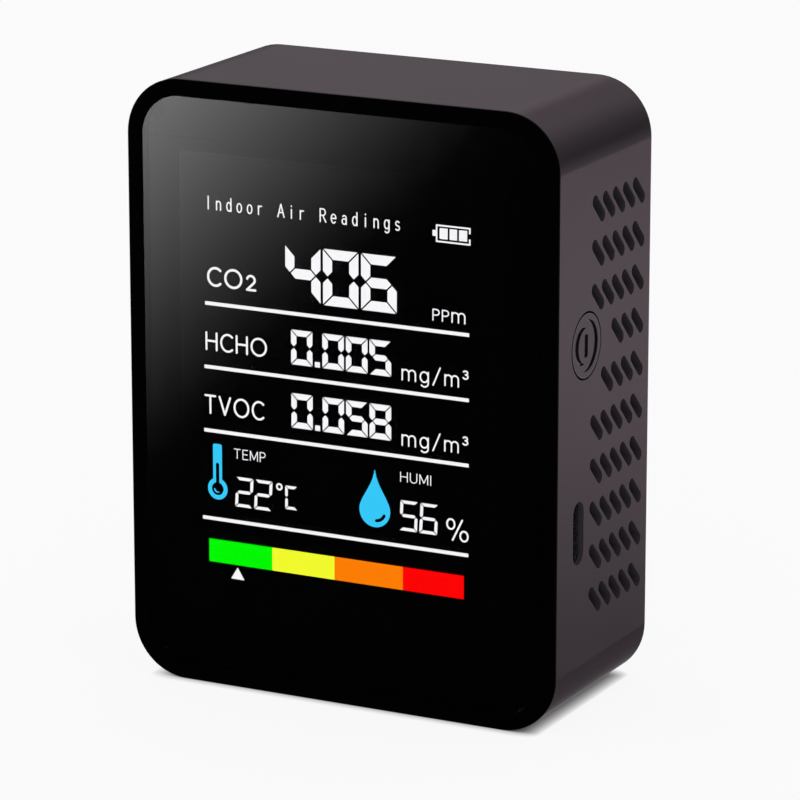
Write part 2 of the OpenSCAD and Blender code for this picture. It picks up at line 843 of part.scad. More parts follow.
module battery_socket() {
    color("#efece2") difference() {
        block(socket_at[0], socket_at[1], board_back, socket_w, socket_h, socket_t);
        block(socket_at[0], socket_at[1], board_back + socket_floor, socket_w - 2 * socket_wall,
            socket_h - 2 * socket_wall, socket_t);
    }
}

module battery_plug() {
    fit = 0.1;
    color("#f5f3ec")
        block(socket_at[0], socket_at[1], board_back + socket_floor + fit,
            socket_w - 2 * (socket_wall + fit), socket_h - 2 * (socket_wall + fit),
            plug_back - board_back - socket_floor - fit);
}

rear_housing();
front_frame();
display_lens();
lens_tape();
lcd_glass();
lcd_backlight();
lcd_pins();
main_board();
board_screws();
housing_screws();
power_button();
switch_body();
switch_bracket();
switch_plunger();
usb_shell();
usb_insulator();
usb_contacts();
controller_chip();
controller_leads();
charger_chip();
crystal();
power_inductor();
chip_resistors();
chip_capacitors();
co2_board();
co2_chamber();
co2_filters();
co2_pins();
hcho_sensor();
hcho_membrane();
tvoc_base();
tvoc_can();
tvoc_mesh();
humidity_sensor();
battery_cell();
battery_guard();
battery_tape();
battery_leads();
battery_plug();
battery_socket();
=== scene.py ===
import math
import bmesh
import bpy
from mathutils import Matrix, Vector


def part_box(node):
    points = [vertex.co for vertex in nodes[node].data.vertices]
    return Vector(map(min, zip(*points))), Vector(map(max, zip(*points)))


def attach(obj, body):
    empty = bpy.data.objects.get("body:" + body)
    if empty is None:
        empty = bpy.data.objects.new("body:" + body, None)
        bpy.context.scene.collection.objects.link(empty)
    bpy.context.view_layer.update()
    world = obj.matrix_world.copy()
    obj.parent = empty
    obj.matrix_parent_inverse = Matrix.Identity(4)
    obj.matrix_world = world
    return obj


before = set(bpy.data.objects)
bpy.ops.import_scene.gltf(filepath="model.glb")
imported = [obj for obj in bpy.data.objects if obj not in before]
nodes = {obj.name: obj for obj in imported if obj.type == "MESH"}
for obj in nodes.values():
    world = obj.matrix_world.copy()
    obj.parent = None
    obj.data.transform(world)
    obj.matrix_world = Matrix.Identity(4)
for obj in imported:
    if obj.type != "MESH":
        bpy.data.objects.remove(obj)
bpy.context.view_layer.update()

mm = 0.001
scene = bpy.context.scene


def linear(hexColour):
    # sRGB hex to the linear colour that shaders work in
    channels = [int(hexColour[i:i + 2], 16) / 255 for i in (1, 3, 5)]
    return [c / 12.92 if c <= 0.04045 else ((c + 0.055) / 1.055) ** 2.4 for c in channels] + [1.0]


def addNode(tree, kind, inputs=None, **settings):
    # one node with its settings; each input takes a plain value or another node's output
    node = tree.nodes.new(kind)
    for name, value in settings.items():
        setattr(node, name, value)
    for name, value in (inputs or {}).items():
        if isinstance(value, bpy.types.NodeSocket):
            tree.links.new(value, node.inputs[name])
        else:
            node.inputs[name].default_value = value
    return node


# camera, at a table-top distance from the monitor
view = {
    "target": (1.55, 0.0, 39.8),  # mm
    "azimuth": 27.15,  # degrees to the right of the front
    "elevation": 14.8,
    "distance": 643.0,  # mm
    "lens": 209.9,  # mm
}


def addCamera():
    azimuth = math.radians(view["azimuth"])
    elevation = math.radians(view["elevation"])
    outward = Vector((math.sin(azimuth) * math.cos(elevation),
                      -math.cos(azimuth) * math.cos(elevation),
                      math.sin(elevation)))
    target = Vector(view["target"]) * mm
    data = bpy.data.cameras.new("camera")
    data.lens = view["lens"]
    data.sensor_width = 36.0
    data.clip_start = 0.01
    camera = bpy.data.objects.new("camera", data)
    camera.location = target + outward * view["distance"] * mm
    camera.rotation_euler = (-outward).to_track_quat("-Z", "Y").to_euler()
    scene.collection.objects.link(camera)
    scene.camera = camera


addCamera()
print("camera set")

# studio: a white light table for the floor, even light all round, and a soft box up to the left
studio = {
    "floorSize": 6.0,  # m
    "floorDrop": 0.03,  # mm, so that the floor and the monitor's foot don't share one plane
    "floorGlow": 0.905,  # light that the table gives of itself
    "floorColour": "#424242",  # what it sends back of the room's light
    "contact": 1.8,  # mm round the foot of the monitor where the table's glow is darkened as a painted contact shadow
    "paintedShadeLean": (-0.35, 0.0, 0.937),  # unit direction the occlusion test for the painted shadow leans to, so the painted shade lies right
    "skyColour": "#fafafb",  # paper behind the table
    "fill": 1.0,  # even light on everything
    # how bright the room looks in a gloss, by the height of what is mirrored (-1 down, 1 up)
    "roomHeights": (-0.40, -0.33, -0.305, -0.28, -0.25, -0.215, -0.18, -0.12, 0.03, 0.13, 0.24, 0.46, 1.0),
    "roomLights": (0.28, 0.14, 0.06, 0.60, 1.62, 1.14, 0.60, 0.18, 0.02, 0.14, 0.22, 0.74, 1.0),
    "behindFrom": -0.25,  # front to back (-1 to 1): where the room starts to show in a gloss
    "behindFull": 0.35,
    "leftGain": 2.5,  # how much brighter the room is on its left side
    "leftFull": -0.44,  # left to right (-1 to 1): where that gain is whole, and where it ends
    "leftEnd": -0.14,
    "wallFrom": 0.58,  # left to right: where an evenly lit wall on the right starts to show in a gloss
    "wallFull": 0.80,
    "wallLight": 0.85,
    "boxFrom": 0.259,  # where the soft box starts to glow, as (up - right) / forward
    "boxFull": 0.356,  # and where it has its whole glow
    "boxFade": 0.44,  # where it dims again, and where it ends
    "boxEnd": 0.58,
    "boxLight": 3.65,
    "boxCurve": 1.9,  # how late the box's glow rises
    "boxAhead": 0.3,  # how far forward a mirrored direction points before it can meet the box
    "leastForward": 0.05,  # keeps the slope finite sideways
}


def addStudio():
    world = bpy.data.worlds.new("studio")
    world.use_nodes = True
    world.cycles.sampling_method = "NONE"
    scene.world = world
    tree = world.node_tree
    tree.nodes.clear()
    ray = addNode(tree, "ShaderNodeLightPath")
    direction = addNode(tree, "ShaderNodeTexCoord")
    axes = addNode(tree, "ShaderNodeSeparateXYZ", {0: direction.outputs["Generated"]})
    # the room behind the monitor: shaded by height, brighter on its left, with an even wall on its right
    height = addNode(tree, "ShaderNodeMapRange",
                     {"Value": axes.outputs["Z"], "From Min": -1.0, "From Max": 1.0})
    room = addNode(tree, "ShaderNodeValToRGB", {"Fac": height.outputs[0]})
    ramp = room.color_ramp
    for place, light in zip(studio["roomHeights"], studio["roomLights"]):
        stop = ramp.elements.new(place / 2 + 0.5)
        stop.color = (light, light, light, 1.0)
    ramp.elements[0].color = (studio["roomLights"][0],) * 3 + (1.0,)
    ramp.elements[len(ramp.elements) - 1].color = (1.0, 1.0, 1.0, 1.0)
    behind = addNode(tree, "ShaderNodeMapRange",
                     {"Value": axes.outputs["Y"], "From Min": studio["behindFrom"],
                      "From Max": studio["behindFull"]}, interpolation_type="SMOOTHSTEP")
    leftwards = addNode(tree, "ShaderNodeMapRange",
                        {"Value": axes.outputs["X"], "From Min": studio["leftFull"],
                         "From Max": studio["leftEnd"], "To Min": studio["leftGain"], "To Max": 1.0},
                        interpolation_type="SMOOTHSTEP")
    gained = addNode(tree, "ShaderNodeMath", {0: room.outputs["Color"], 1: leftwards.outputs[0]},
                     operation="MULTIPLY")
    shaded = addNode(tree, "ShaderNodeMath", {0: gained.outputs[0], 1: behind.outputs[0]},
                     operation="MULTIPLY")
    wall = addNode(tree, "ShaderNodeMapRange",
                   {"Value": axes.outputs["X"], "From Min": studio["wallFrom"],
                    "From Max": studio["wallFull"], "To Max": studio["wallLight"]},
                   interpolation_type="SMOOTHSTEP")
    roomLight = addNode(tree, "ShaderNodeMath", {0: shaded.outputs[0], 1: wall.outputs[0]},
                        operation="MAXIMUM")
    # the soft box in front, up to the left: it dims evenly towards the middle of the lens
    slope = addNode(tree, "ShaderNodeMath", {0: axes.outputs["Z"], 1: axes.outputs["X"]},
                    operation="SUBTRACT")
    forward = addNode(tree, "ShaderNodeMath", {0: axes.outputs["Y"], 1: -1.0}, operation="MULTIPLY")
    ahead = addNode(tree, "ShaderNodeMath", {0: forward.outputs[0], 1: studio["leastForward"]},
                    operation="MAXIMUM")
    rise = addNode(tree, "ShaderNodeMath", {0: slope.outputs[0], 1: ahead.outputs[0]}, operation="DIVIDE")
    glow = addNode(tree, "ShaderNodeMapRange",
                   {"Value": rise.outputs[0], "From Min": studio["boxFrom"],
                    "From Max": studio["boxFull"]})
    soft = addNode(tree, "ShaderNodeMath", {0: glow.outputs[0], 1: studio["boxCurve"]}, operation="POWER")
    edge = addNode(tree, "ShaderNodeMapRange",
                   {"Value": rise.outputs[0], "From Min": studio["boxFade"],
                    "From Max": studio["boxEnd"], "To Min": studio["boxLight"], "To Max": 0.0})
    box = addNode(tree, "ShaderNodeMath", {0: soft.outputs[0], 1: edge.outputs[0]}, operation="MULTIPLY")
    front = addNode(tree, "ShaderNodeMath", {0: forward.outputs[0], 1: studio["boxAhead"]},
                    operation="GREATER_THAN")
    boxLight = addNode(tree, "ShaderNodeMath", {0: box.outputs[0], 1: front.outputs[0]},
                       operation="MULTIPLY")
    gloss = addNode(tree, "ShaderNodeMath", {0: roomLight.outputs[0], 1: boxLight.outputs[0]},
                    operation="ADD")
    mirrored = addNode(tree, "ShaderNodeBackground", {"Color": gloss.outputs[0], "Strength": 1.0})
    even = addNode(tree, "ShaderNodeBackground",
                   {"Color": (1.0, 1.0, 1.0, 1.0), "Strength": studio["fill"]})
    paper = addNode(tree, "ShaderNodeBackground",
                    {"Color": linear(studio["skyColour"]), "Strength": 1.0})
    lit = addNode(tree, "ShaderNodeMixShader",
                  {0: ray.outputs["Is Glossy Ray"], 1: even.outputs[0], 2: mirrored.outputs[0]})
    seen = addNode(tree, "ShaderNodeMixShader",
                   {0: ray.outputs["Is Camera Ray"], 1: lit.outputs[0], 2: paper.outputs[0]})
    addNode(tree, "ShaderNodeOutputWorld", {"Surface": seen.outputs[0]})
    scene.view_settings.view_transform = "Standard"
    # light table: it glows of itself, with a painted contact shadow (its glow darkened by an occlusion test)
    # in a thin band round the monitor's foot
    mesh = bpy.data.meshes.new("floor")
    form = bmesh.new()
    bmesh.ops.create_grid(form, x_segments=8, y_segments=8, size=studio["floorSize"] / 2)
    form.to_mesh(mesh)
    form.free()
    floor = bpy.data.objects.new("floor", mesh)
    floor.location.z = -studio["floorDrop"] * mm
    floor.visible_glossy = False
    scene.collection.objects.link(floor)
    table = bpy.data.materials.new("opalAcrylicTable")
    table.use_nodes = True
    tree = table.node_tree
    skin = tree.nodes["Principled BSDF"]
    lean = addNode(tree, "ShaderNodeCombineXYZ", dict(enumerate(studio["paintedShadeLean"])))
    paintedContactShade = addNode(tree, "ShaderNodeAmbientOcclusion",
                   {"Distance": studio["contact"] * mm, "Normal": lean.outputs[0]}, samples=16)
    skin.inputs["Base Color"].default_value = linear(studio["floorColour"])
    skin.inputs["Roughness"].default_value = 1.0
    skin.inputs["Specular IOR Level"].default_value = 0.0
    skin.inputs["Emission Strength"].default_value = studio["floorGlow"]
    # painted shadow: the table's glow is darkened where the occlusion test meets the monitor
    tree.links.new(paintedContactShade.outputs["Color"], skin.inputs["Emission Color"])
    mesh.materials.append(table)


addStudio()
print("studio set")

# one finish for each real surface; sizes in mm, and a worn edge shows the colour under it
# paint flake, mould texture and the marks of drawing and turning are finer in life, under 0.1 mm, and
# their grain is drawn as coarse as it needs to show
finishes = {
    # satin metallic paint sprayed on moulded ABS: soft sheen, fine flake, brown-violet cast
    "satinMetallicPaint": {
        "colour": "#534d51", "patchColour": "#4f494d", "metal": 0.8, "rough": 0.23, "roughVary": 0.03,
        "grain": 0.35, "grainDepth": 0.003, "patch": 9.0, "edge": 0.25, "wear": 0.30,
        "wearColour": "#6b6166", "specular": 0.3, "edgeTint": "#b2a8ae",
    },
    # the same paint on the small button, a little smoother from being touched
    "satinPaintButton": {
        "colour": "#534d51", "patchColour": "#4f494d", "metal": 0.8, "rough": 0.22, "roughVary": 0.03,
        "grain": 0.35, "grainDepth": 0.003, "patch": 4.0, "edge": 0.2, "wear": 0.35,
        "wearColour": "#6f666a", "specular": 0.3, "edgeTint": "#b2a8ae",
    },
    # black ABS from a fine-textured mould: takes the light out of the rim round the lens
    "moldedBlackAbs": {
        "colour": "#010101", "patchColour": "#000000", "metal": 0.0, "rough": 0.45, "roughVary": 0.06,
        "grain": 0.4, "grainDepth": 0.003, "patch": 8.0, "edge": 0.12, "wear": 0.1,
        "wearColour": "#050505", "specular": 0.01,
    },
    # cast acrylic, smoked and polished: deep black, and a sharp mirror of the soft box
    "smokedAcrylic": {
        "colour": "#040405", "patchColour": "#030303", "metal": 0.0, "rough": 0.04, "roughVary": 0.015,
        "grain": 2.5, "grainDepth": 0.00003, "patch": 14.0, "edge": 0.1, "wear": 0.2,
        "wearColour": "#101012", "specular": 1.0, "ior": 1.49, "alpha": 0.5,
    },
    # black double-sided tape, wetted out on the acrylic, so it mirrors as faintly as the lens's own back
    "blackAdhesiveTape": {
        "colour": "#030303", "patchColour": "#020202", "metal": 0.0, "rough": 0.04, "roughVary": 0.015,
        "grain": 2.5, "grainDepth": 0.00003, "patch": 5.0, "edge": 0.1, "wear": 0.1,
        "wearColour": "#040404", "specular": 0.5, "ior": 1.49,
    },
    # float glass over black: almost nothing but a faint gloss
    "displayGlass": {
        "colour": "#020202", "patchColour": "#010101", "metal": 0.0, "rough": 0.3, "roughVary": 0.03,
        "grain": 1.5, "grainDepth": 0.0003, "patch": 10.0, "edge": 0.1, "wear": 0.1,
        "wearColour": "#030303", "specular": 0.0, "ior": 1.52,
    },
    # white filled ABS, moulded: even and slightly waxy
    "moldedWhiteAbs": {
        "colour": "#e6e6e1", "patchColour": "#dcdbd4", "metal": 0.0, "rough": 0.45, "roughVary": 0.06,
        "grain": 0.4, "grainDepth": 0.006, "patch": 4.0, "edge": 0.15, "wear": 0.4,
        "wearColour": "#f2f2ee", "specular": 0.5,
    },
    # brass pins dipped in tin: bright but not mirror-like
    "tinPlatedPins": {
        "colour": "#c9c9c4", "patchColour": "#b5b5ae", "metal": 1.0, "rough": 0.28, "roughVary": 0.08,
        "grain": 0.25, "grainDepth": 0.003, "patch": 1.5, "edge": 0.06, "wear": 0.4,
        "wearColour": "#d9d4bd",
    },
    # glass-fibre board under green solder mask: glossy, with copper runs showing through
    "greenSolderMask": {
        "colour": "#12512e", "patchColour": "#0d4225", "metal": 0.0, "rough": 0.3, "roughVary": 0.06,
        "grain": 0.6, "grainDepth": 0.008, "patch": 6.0, "edge": 0.15, "wear": 0.5,
        "wearColour": "#8f8a52", "specular": 0.5, "tracks": "#1c6b3d", "trackPitch": 2.2,
    },
    # the same board under blue solder mask
    "blueSolderMask": {
        "colour": "#1d3f7a", "patchColour": "#183568", "metal": 0.0, "rough": 0.3, "roughVary": 0.06,
        "grain": 0.6, "grainDepth": 0.008, "patch": 5.0, "edge": 0.15, "wear": 0.5,
        "wearColour": "#8a8560", "specular": 0.5, "tracks": "#2b559b", "trackPitch": 1.8,
    },
    # turned steel with bright zinc: fine turning marks, worn at the cross
    "zincPlatedSteel": {
        "colour": "#94948f", "patchColour": "#84847f", "metal": 1.0, "rough": 0.34, "roughVary": 0.08,
        "grain": 0.2, "grainDepth": 0.006, "patch": 1.2, "edge": 0.08, "wear": 0.6,
        "wearColour": "#bdbdb8",
    },
    # black nylon, moulded: satin, softly mottled
    "moldedBlackNylon": {
        "colour": "#1b1b1d", "patchColour": "#141416", "metal": 0.0, "rough": 0.42, "roughVary": 0.06,
        "grain": 0.3, "grainDepth": 0.006, "patch": 2.5, "edge": 0.1, "wear": 0.3,
        "wearColour": "#2f2f32", "specular": 0.45,
    },
    # stamped steel under nickel: cool silver with drawn lines along the sheet
    "nickelPlatedSteel": {
        "colour": "#b4b6b8", "patchColour": "#a3a6a9", "metal": 1.0, "rough": 0.26, "roughVary": 0.08,
        "grain": 0.3, "grainDepth": 0.003, "patch": 2.0, "edge": 0.08, "wear": 0.5,
        "wearColour": "#d6d7d8", "stretch": (0.15, 1.0, 1.0),
    },
    # gold flashed over nickel: warm and bright
    "goldPlating": {
        "colour": "#d4af5a", "patchColour": "#c8a04c", "metal": 1.0, "rough": 0.22, "roughVary": 0.06,
        "grain": 0.25, "grainDepth": 0.002, "patch": 1.5, "edge": 0.06, "wear": 0.3,
        "wearColour": "#e6cf90",
    },
    # plain brass header, stamped: duller than the plating beside it
    "stampedBrass": {
        "colour": "#b9a46a", "patchColour": "#a38f58", "metal": 1.0, "rough": 0.36, "roughVary": 0.08,
        "grain": 0.3, "grainDepth": 0.004, "patch": 2.0, "edge": 0.1, "wear": 0.5,
        "wearColour": "#d8c690",
    },
    # chip bodies, transfer-moulded epoxy: dark grey with a sandy skin
    "moldedEpoxy": {
        "colour": "#1c1c1e", "patchColour": "#161617", "metal": 0.0, "rough": 0.6, "roughVary": 0.08,
        "grain": 0.2, "grainDepth": 0.01, "patch": 1.5, "edge": 0.1, "wear": 0.3,
        "wearColour": "#38383a", "specular": 0.4,
    },
    # pressed and fired ferrite: dark, dry, with light chips at the edges
    "sinteredFerrite": {
        "colour": "#3a3a3c", "patchColour": "#2f2f31", "metal": 0.0, "rough": 0.7, "roughVary": 0.08,
        "grain": 0.25, "grainDepth": 0.012, "patch": 1.5, "edge": 0.12, "wear": 0.5,
        "wearColour": "#5e5e60", "specular": 0.4,
    },
    # fired ceramic of the small capacitors: tan and matt
    "firedCeramic": {
        "colour": "#a98c6a", "patchColour": "#9a7d5b", "metal": 0.0, "rough": 0.55, "roughVary": 0.08,
        "grain": 0.2, "grainDepth": 0.006, "patch": 0.8, "edge": 0.08, "wear": 0.4,
        "wearColour": "#c3ab8c", "specular": 0.45,
    },
    # porous PTFE felt over the sensors: chalk white with a soft nap
    "porousMembrane": {
        "colour": "#f2f1ea", "patchColour": "#e6e4da", "metal": 0.0, "rough": 0.9, "roughVary": 0.05,
        "grain": 0.3, "grainDepth": 0.03, "patch": 1.5, "edge": 0.08, "wear": 0.2,
        "wearColour": "#f7f6f1", "specular": 0.2,
    },
    # laminated aluminium pouch: silver, softly creased
    "laminatedFoil": {
        "colour": "#8e9194", "patchColour": "#808386", "metal": 0.7, "rough": 0.45, "roughVary": 0.1,
        "grain": 3.0, "grainDepth": 0.06, "patch": 9.0, "edge": 0.3, "wear": 0.3,
        "wearColour": "#a5a8aa",
    },
    # amber polyimide film over the battery's guard board: orange, glassy
    "amberPolyimideFilm": {
        "colour": "#c98a2b", "patchColour": "#b87a20", "metal": 0.0, "rough": 0.2, "roughVary": 0.06,
        "grain": 1.2, "grainDepth": 0.05, "patch": 4.0, "edge": 0.2, "wear": 0.3,
        "wearColour": "#dca953", "specular": 0.6,
    },
    # white double-sided foam tape: dull with open cells
    "foamTape": {
        "colour": "#dcdcd8", "patchColour": "#d0d0ca", "metal": 0.0, "rough": 0.9, "roughVary": 0.05,
        "grain": 0.35, "grainDepth": 0.04, "patch": 3.0, "edge": 0.1, "wear": 0.2,
        "wearColour": "#e8e8e5", "specular": 0.2,
    },
    # silicone insulation, red on one lead and black on the other: satin rubber
    "siliconeInsulation": {
        "colour": "#b3261f", "patchColour": "#a2201a", "metal": 0.0, "rough": 0.5, "roughVary": 0.06,
        "grain": 0.3, "grainDepth": 0.008, "patch": 3.0, "edge": 0.1, "wear": 0.2,
        "wearColour": "#c9443c", "specular": 0.4,
    },
    # lit symbols of the display: print behind the glass with the lamp behind it
    "litWhite": {"glow": "#f6f5f8"},
    "litBlue": {"glow": "#35c7f7"},
    "litGreen": {"glow": "#02f902"},
    "litYellow": {"glow": "#f0fa2c"},
    "litOrange": {"glow": "#fb7d02"},
    "litRed": {"glow": "#fb0202"},
}

# what every lit symbol shares: translucent ink, dull, with a fine screen-print grain
litInk = {
    "colour": "#0a0a0a", "patchColour": "#060606", "metal": 0.0, "rough": 0.6, "roughVary": 0.05,
    "grain": 0.3, "grainDepth": 0.002, "patch": 2.0, "edge": 0.05, "wear": 0.1,
    "wearColour": "#101010", "specular": 0.1, "glowStrength": 4.0,
}


# how every finish is put together
mixing = {
    "grainDetail": 3.0,
    "patchDetail": 2.0,
    "grainLow": 0.3,  # span of the grain that steers the roughness
    "grainHigh": 0.7,
    "wearFrom": 0.99,  # how well rounded and true normals agree where wear starts, and where it is full
    "wearFull": 0.85,
    "wearGain": 2.0,
    "tracksPerCell": 3.0,
    "trackBare": 0.72,  # share of each track's pitch that holds no copper
}


def makeFinish(name):
    look = dict(finishes[name])
    if "glow" in look:
        look = {**litInk, **look}
    material = bpy.data.materials.new(name)
    material.use_nodes = True
    tree = material.node_tree
    skin = tree.nodes["Principled BSDF"]
    skin.name = "skin"
    place = addNode(tree, "ShaderNodeTexCoord")
    along = addNode(tree, "ShaderNodeMapping",
                    {"Vector": place.outputs["Object"], "Scale": look.get("stretch", (1.0, 1.0, 1.0))})
    grain = addNode(tree, "ShaderNodeTexNoise",
                    {"Vector": along.outputs[0], "Scale": 1 / (look["grain"] * mm),
                     "Detail": mixing["grainDetail"]})
    patches = addNode(tree, "ShaderNodeTexNoise",
                      {"Vector": place.outputs["Object"], "Scale": 1 / (look["patch"] * mm),
                       "Detail": mixing["patchDetail"]})
    mottle = addNode(tree, "ShaderNodeMix",
                     {0: patches.outputs["Fac"], 6: linear(look["colour"]), 7: linear(look["patchColour"])},
                     data_type="RGBA")
    colour = mottle.outputs[2]
    if "tracks" in look:  # copper runs, a hair lighter than the mask over them
        runs = addNode(tree, "ShaderNodeTexVoronoi",
                       {"Vector": place.outputs["Object"], "Scale": 1 / (look["trackPitch"] * mm)},
                       feature="F1", distance="CHEBYCHEV")
        lines = addNode(tree, "ShaderNodeMath",
                        {0: runs.outputs["Distance"], 1: mixing["tracksPerCell"]}, operation="MULTIPLY")
        ladder = addNode(tree, "ShaderNodeMath", {0: lines.outputs[0]}, operation="FRACT")
        copper = addNode(tree, "ShaderNodeMath", {0: ladder.outputs[0], 1: mixing["trackBare"]},
                         operation="GREATER_THAN")
        overlay = addNode(tree, "ShaderNodeMix",
                          {0: copper.outputs[0], 6: colour, 7: linear(look["tracks"])}, data_type="RGBA")
        colour = overlay.outputs[2]
    # worn edges: where a rounded normal leaves the true one, broken up by the grain
    rounded = addNode(tree, "ShaderNodeBevel", {"Radius": look["edge"] * mm}, samples=4)
    surface = addNode(tree, "ShaderNodeNewGeometry")
    facing = addNode(tree, "ShaderNodeVectorMath",
                     {0: rounded.outputs[0], 1: surface.outputs["Normal"]}, operation="DOT_PRODUCT")
    edge = addNode(tree, "ShaderNodeMapRange",
                   {"Value": facing.outputs["Value"], "From Min": mixing["wearFrom"],
                    "From Max": mixing["wearFull"], "To Min": 0.0,
                    "To Max": look["wear"] * mixing["wearGain"]})
    rubbed = addNode(tree, "ShaderNodeMath", {0: edge.outputs[0], 1: patches.outputs["Fac"]},
                     operation="MULTIPLY", use_clamp=True)
    worn = addNode(tree, "ShaderNodeMix",
                   {0: rubbed.outputs[0], 6: colour, 7: linear(look["wearColour"])}, data_type="RGBA")
    polish = addNode(tree, "ShaderNodeMapRange",
                     {"Value": grain.outputs["Fac"], "From Min": mixing["grainLow"],
                      "From Max": mixing["grainHigh"],
                      "To Min": look["rough"] - look["roughVary"],
                      "To Max": look["rough"] + look["roughVary"]})
    relief = addNode(tree, "ShaderNodeBump",
                     {"Height": grain.outputs["Fac"], "Distance": look["grainDepth"] * mm, "Strength": 1.0})
    tree.links.new(worn.outputs[2], skin.inputs["Base Color"])
    tree.links.new(polish.outputs[0], skin.inputs["Roughness"])
    tree.links.new(relief.outputs[0], skin.inputs["Normal"])
    skin.inputs["Metallic"].default_value = look["metal"]
    skin.inputs["Alpha"].default_value = look.get("alpha", 1.0)
    if look["metal"] < 1.0:
        skin.inputs["IOR"].default_value = look.get("ior", 1.5)
        skin.inputs["Specular IOR Level"].default_value = look.get("specular", 0.5)
    if "edgeTint" in look:
        skin.inputs["Specular Tint"].default_value = linear(look["edgeTint"])
    if "glow" in look:
        skin.inputs["Emission Color"].default_value = linear(look["glow"])
        skin.inputs["Emission Strength"].default_value = look["glowStrength"]
    return material


materials = {name: makeFinish(name) for name in finishes}
print("finishes mixed:", len(materials))


def coverColour(material, mask, colour):
    # lays one more colour over what the finish already shows where mask is 1, and no metal shows there
    tree = material.node_tree
    skin = tree.nodes["skin"]
    under = skin.inputs["Base Color"].links[0].from_socket
    over = addNode(tree, "ShaderNodeMix", {0: mask, 6: under, 7: linear(colour)}, data_type="RGBA")
    tree.links.new(over.outputs[2], skin.inputs["Base Color"])
    metal = skin.inputs["Metallic"].default_value
    if metal > 0:
        plain = addNode(tree, "ShaderNodeMix", {0: mask, 2: metal, 3: 0.0}, data_type="FLOAT")
        tree.links.new(plain.outputs[0], skin.inputs["Metallic"])


# housing: painted outside, bare black ABS inside and down in the slots
housing = {
    "bareColour": "#3a373b",
    "paintReach": 0.12,  # mm that the spray reaches into a slot
    "paintSkin": 0.05,  # mm below the face where it starts to thin out
    "backPainted": 0.8,  # mm in from the back's face where paint ends, and where the plastic is bare
    "backBare": 1.0,
    "farAway": 10.0,  # m, so that front to back never counts as a distance from the middle
    "cornerRadius": 8.0,  # mm
}


def bareInside():
    low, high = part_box("rear_housing")
    radius = housing["cornerRadius"] * mm
    middle = Vector((0.0, 0.0, (low.z + high.z) / 2))
    flat = Vector((high.x - radius, housing["farAway"], (high.z - low.z) / 2 - radius))
    material = materials["satinMetallicPaint"]
    tree = material.node_tree
    place = addNode(tree, "ShaderNodeTexCoord")
    centred = addNode(tree, "ShaderNodeVectorMath", {0: place.outputs["Object"], 1: middle},
                      operation="SUBTRACT")
    quarter = addNode(tree, "ShaderNodeVectorMath", {0: centred.outputs[0]}, operation="ABSOLUTE")
    past = addNode(tree, "ShaderNodeVectorMath", {0: quarter.outputs[0], 1: flat}, operation="SUBTRACT")
    outer = addNode(tree, "ShaderNodeVectorMath", {0: past.outputs[0], 1: (0.0, 0.0, 0.0)},
                    operation="MAXIMUM")
    reach = addNode(tree, "ShaderNodeVectorMath", {0: outer.outputs[0]}, operation="LENGTH")
    side = addNode(tree, "ShaderNodeMapRange",
                   {"Value": reach.outputs["Value"], "From Min": radius - housing["paintReach"] * mm,
                    "From Max": radius - housing["paintSkin"] * mm, "To Min": 1.0, "To Max": 0.0})
    depth = addNode(tree, "ShaderNodeSeparateXYZ", {0: place.outputs["Object"]})
    back = addNode(tree, "ShaderNodeMapRange",
                   {"Value": depth.outputs["Y"], "From Min": high.y - housing["backBare"] * mm,
                    "From Max": high.y - housing["backPainted"] * mm, "To Min": 1.0, "To Max": 0.0})
    bare = addNode(tree, "ShaderNodeMath", {0: side.outputs[0], 1: back.outputs[0]}, operation="MINIMUM")
    coverColour(material, bare.outputs[0], housing["bareColour"])


bareInside()
print("housing painted")

# button: painted shade, the engraved mark and everything below the cap's face painted near-black for the
# shade in them, and a thin painted shade line at the cap's rim
button = {
    "middle": (-5.95, 52.4),  # mm, front to back and up
    "capRadius": 4.4,
    "buttonShadeColour": "#141216",
    "shadeFrom": 0.06,  # mm below the face
    "rim": 0.16,  # mm of the cap's edge painted dark as shade, widening the shadow line of the gap round the cap
}


def paintButtonShade():
    material = materials["satinPaintButton"]
    tree = material.node_tree
    place = addNode(tree, "ShaderNodeTexCoord")
    axes = addNode(tree, "ShaderNodeSeparateXYZ", {0: place.outputs["Object"]})
    low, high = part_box("power_button")
    # painted shade: everything below the cap's face, the engraving and the gap round the cap, is covered
    # with near-black
    filled = addNode(tree, "ShaderNodeMath", {0: axes.outputs["X"], 1: high.x - button["shadeFrom"] * mm},
                     operation="LESS_THAN")
    centre = Vector((0.0, button["middle"][0] * mm, button["middle"][1] * mm))
    flat = addNode(tree, "ShaderNodeVectorMath", {0: place.outputs["Object"], 1: (0.0, 1.0, 1.0)},
                   operation="MULTIPLY")
    radius = addNode(tree, "ShaderNodeVectorMath", {0: flat.outputs[0], 1: centre}, operation="DISTANCE")
    # painted shade: a band at the cap's rim is painted dark as well
    rim = addNode(tree, "ShaderNodeMath",
                  {0: radius.outputs["Value"], 1: (button["capRadius"] - button["rim"]) * mm},
                  operation="GREATER_THAN")
    dark = addNode(tree, "ShaderNodeMath", {0: filled.outputs[0], 1: rim.outputs[0]}, operation="MAXIMUM")
    coverColour(material, dark.outputs[0], button["buttonShadeColour"])


paintButtonShade()
print("button mark filled")

# battery leads: the lead on the left is the black one
leads = {
    "blackColour": "#19191b",
    "split": 4.0,  # mm across from the middle
}


def blackLead():
    material = materials["siliconeInsulation"]
    tree = material.node_tree
    place = addNode(tree, "ShaderNodeTexCoord")
    axes = addNode(tree, "ShaderNodeSeparateXYZ", {0: place.outputs["Object"]})
    left = addNode(tree, "ShaderNodeMath", {0: axes.outputs["X"], 1: leads["split"] * mm},
                   operation="LESS_THAN")
    coverColour(material, left.outputs[0], leads["blackColour"])


blackLead()
print("leads coloured")

